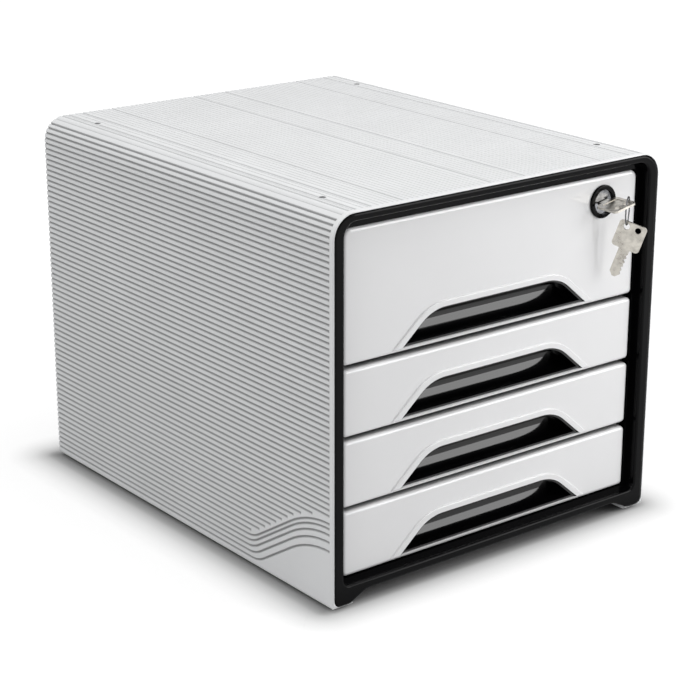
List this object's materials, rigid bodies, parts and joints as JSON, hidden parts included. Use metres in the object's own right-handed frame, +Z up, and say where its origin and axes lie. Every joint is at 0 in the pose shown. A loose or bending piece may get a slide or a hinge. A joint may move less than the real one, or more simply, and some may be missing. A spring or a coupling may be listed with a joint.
{
  "type": "desktop file drawer",
  "caption": "Desktop drawer cabinet with a ribbed case, black front frame, shallow drawers below a taller locking one, finger grips, a cam lock and keys on a ring.",
  "frame": {"origin": "under the middle of the whole object's box, hanging keys included, on the surface that it stands on", "axes": "+Z up, -Y out of the drawers' fronts, +X to the right seen from the front"},
  "size_m": [0.288, 0.3718, 0.2698],
  "materials": {
    "case_plastic": "satin moulded polystyrene",
    "front_gloss": "high gloss",
    "black_gloss": "high gloss",
    "tray_plastic": "satin",
    "inner_plastic": "satin",
    "foot_rubber": "matte",
    "zinc_plate": "zinc plated",
    "lock_chrome": "polished plate",
    "key_steel": "nickel plated",
    "ring_wire": "bright wire"
  },
  "bodies": {
    "case": {"case_sleeve": "case_plastic", "rubber_feet": "foot_rubber", "back_panel": "case_plastic", "front_bezel": "black_gloss", "right_runner": "inner_plastic", "left_runner": "inner_plastic", "lock_strike": "zinc_plate"},
    "top_drawer": {"top_drawer_front": "front_gloss", "top_drawer_tray": "tray_plastic", "top_drawer_cup": "black_gloss", "lock_collar": "black_gloss", "lock_body": "lock_chrome", "lock_nut": "zinc_plate"},
    "second_drawer": {"second_drawer_front": "front_gloss", "second_drawer_tray": "tray_plastic", "second_drawer_cup": "black_gloss"},
    "third_drawer": {"third_drawer_front": "front_gloss", "third_drawer_tray": "tray_plastic", "third_drawer_cup": "black_gloss"},
    "bottom_drawer": {"bottom_drawer_front": "front_gloss", "bottom_drawer_tray": "tray_plastic", "bottom_drawer_cup": "black_gloss"},
    "lock_plug_group": {"lock_plug": "lock_chrome", "lock_cam": "zinc_plate", "cam_screw": "zinc_plate"},
    "inserted_key": {"lock_key": "key_steel"},
    "key_ring_wire": {"key_ring": "ring_wire"},
    "hanging_key": {"spare_key": "key_steel"}
  },
  "joints": [
    {"name": "top_drawer_slide", "type": "slide", "parent": "case", "child": "top_drawer", "axis": [0, -1, 0], "range_m": [0, 0.24]},
    {"name": "second_drawer_slide", "type": "slide", "parent": "case", "child": "second_drawer", "axis": [0, -1, 0], "range_m": [0, 0.24]},
    {"name": "third_drawer_slide", "type": "slide", "parent": "case", "child": "third_drawer", "axis": [0, -1, 0], "range_m": [0, 0.24]},
    {"name": "bottom_drawer_slide", "type": "slide", "parent": "case", "child": "bottom_drawer", "axis": [0, -1, 0], "range_m": [0, 0.24]},
    {"name": "lock_turn", "type": "hinge", "parent": "top_drawer", "child": "lock_plug_group", "pos_m": [0.0965, 0.00938, 0.2391], "axis": [0, 1, 0], "range_deg": [0, 90]},
    {"name": "key_pull", "type": "slide", "parent": "lock_plug_group", "child": "inserted_key", "axis": [0, -1, 0], "range_m": [0, 0.03]},
    {"name": "ring_hang", "type": "hinge", "parent": "inserted_key", "child": "key_ring_wire", "pos_m": [0.10062, -0.17872, 0.2399], "axis": [0, 1, 0], "range_deg": [-90, 0]},
    {"name": "spare_key_swing", "type": "hinge", "parent": "key_ring_wire", "child": "hanging_key", "pos_m": [0.10665, -0.1742, 0.2241], "axis": [0.8, 0.6, 0], "range_deg": [-25, 8]}
  ],
  "couplings": [
    {"joint": "ring_hang", "follows": "lock_turn", "ratio": -1}
  ]
}
